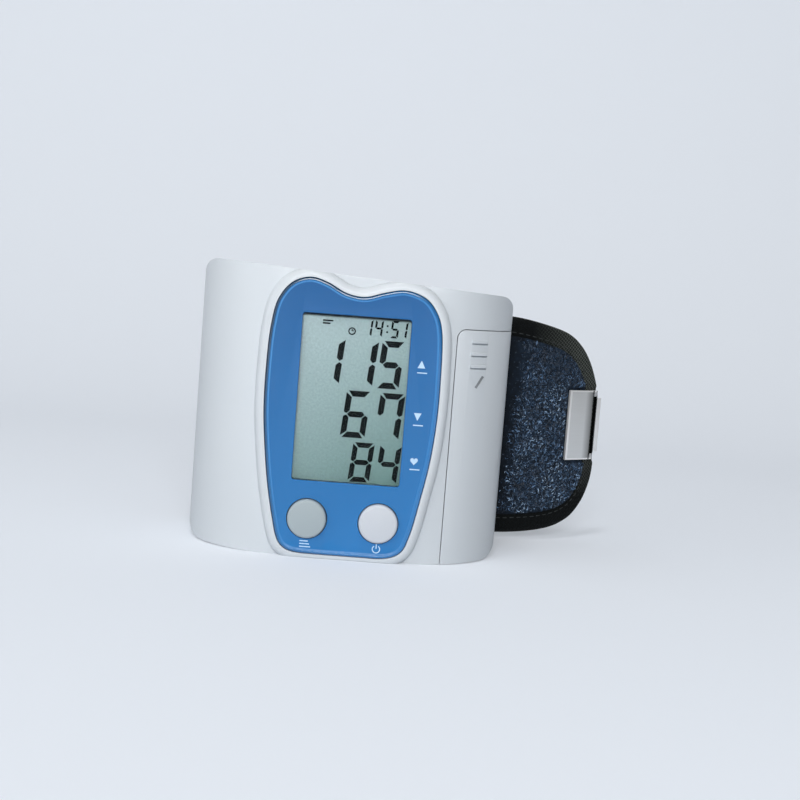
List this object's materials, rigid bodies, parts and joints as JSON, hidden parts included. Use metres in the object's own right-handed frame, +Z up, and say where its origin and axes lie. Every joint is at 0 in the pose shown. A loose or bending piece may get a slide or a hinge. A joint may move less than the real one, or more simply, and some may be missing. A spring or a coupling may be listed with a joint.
{
  "type": "wrist blood pressure monitor",
  "caption": "Wrist blood pressure monitor: curved pale housing, two-humped face plate with display and push buttons, side battery door, padded cuff with strap and metal loop.",
  "frame": {"origin": "on the flat lower end of the housing, midway across it and 10 mm behind its front face", "axes": "+Z up along the wrist, -Y out of the display, +X to the right of the display"},
  "size_m": [0.1146, 0.0943, 0.0731],
  "materials": {
    "shell": "satin moulded",
    "blue": "gloss",
    "window": "clear",
    "display": "grey-green reflective",
    "grey_button": "satin",
    "pale_button": "satin",
    "silicone": "matt",
    "inner_plastic": "matt moulded",
    "board": "solder resist",
    "chip": "matt",
    "motor": "plated",
    "pump_black": "matt",
    "tube": "soft",
    "cell_jacket": "printed sleeve",
    "contact": "plated",
    "screw": "plated",
    "former": "matt",
    "bladder": "matt film",
    "cloth": "woven binding",
    "pile": "loop pile",
    "metal": "satin"
  },
  "bodies": {
    "housing": {"front_housing": "shell", "rear_housing": "shell", "face_plate": "blue", "display_window": "window", "lcd_panel": "display", "lcd_holder": "inner_plastic", "contact_strip": "chip", "key_mat": "silicone", "circuit_board": "board", "main_chip": "chip", "pressure_sensor": "chip", "air_manifold": "inner_plastic", "pump_motor": "motor", "pump_head": "pump_black", "exhaust_valve": "pump_black", "pump_tube": "tube", "valve_tube": "tube", "sensor_tube": "tube", "battery_tray": "inner_plastic", "cuff_former": "former", "air_bladder": "bladder", "cuff_pad": "cloth", "battery_1": "cell_jacket", "battery_2": "cell_jacket", "battery_spring_1": "contact", "battery_spring_2": "contact", "contact_plate_1": "contact", "contact_plate_2": "contact", "housing_screw_1": "screw", "housing_screw_2": "screw", "housing_screw_3": "screw", "housing_screw_4": "screw"},
    "memory_button": {"memory_button": "grey_button"},
    "power_button": {"power_button": "pale_button"},
    "battery_door": {"battery_door": "shell"},
    "right_flap": {"right_flap": "cloth", "pile_panel": "pile", "loop_clamp": "metal"},
    "strap_loop": {"strap_loop": "metal"},
    "left_flap": {"left_flap": "cloth"},
    "strap": {"strap": "cloth", "hook_patch": "pile"},
    "pump_crank": {"pump_crank": "contact"},
    "valve_plunger": {"valve_plunger": "contact"}
  },
  "joints": [
    {"name": "memory_press", "type": "slide", "parent": "housing", "child": "memory_button", "axis": [0, 1, 0], "range_m": [0, 0.0008], "stiffness_N_per_m": 500},
    {"name": "power_press", "type": "slide", "parent": "housing", "child": "power_button", "axis": [0, 1, 0], "range_m": [0, 0.0008], "stiffness_N_per_m": 500},
    {"name": "door_slide", "type": "slide", "parent": "housing", "child": "battery_door", "axis": [0, 0, -1], "range_m": [0, 0.062]},
    {"name": "right_flap_flex", "type": "hinge", "parent": "housing", "child": "right_flap", "pos_m": [0.02988, 0.03165, 0.0339], "axis": [0, 0, 1], "range_deg": [-10, 35], "stiffness_Nm_per_rad": 0.05},
    {"name": "loop_swing", "type": "hinge", "parent": "right_flap", "child": "strap_loop", "pos_m": [0.07162, 0.05017, 0.0333], "axis": [0, 0, 1], "range_deg": [-135, 35]},
    {"name": "left_flap_flex", "type": "hinge", "parent": "housing", "child": "left_flap", "pos_m": [-0.03028, 0.0321, 0.0339], "axis": [0, 0, 1], "range_deg": [-10, 35], "stiffness_Nm_per_rad": 0.05},
    {"name": "strap_flex", "type": "hinge", "parent": "left_flap", "child": "strap", "pos_m": [-0.02454, 0.07444, 0.0339], "axis": [0, 0, 1], "range_deg": [-10, 60], "stiffness_Nm_per_rad": 0.01},
    {"name": "pump_spin", "type": "hinge", "parent": "housing", "child": "pump_crank", "pos_m": [-0.03, 0.0105, 0], "axis": [0, 0, 1], "continuous": true},
    {"name": "valve_lift", "type": "slide", "parent": "housing", "child": "valve_plunger", "axis": [0, 0, 1], "range_m": [0, 0.0006], "stiffness_N_per_m": 100}
  ]
}
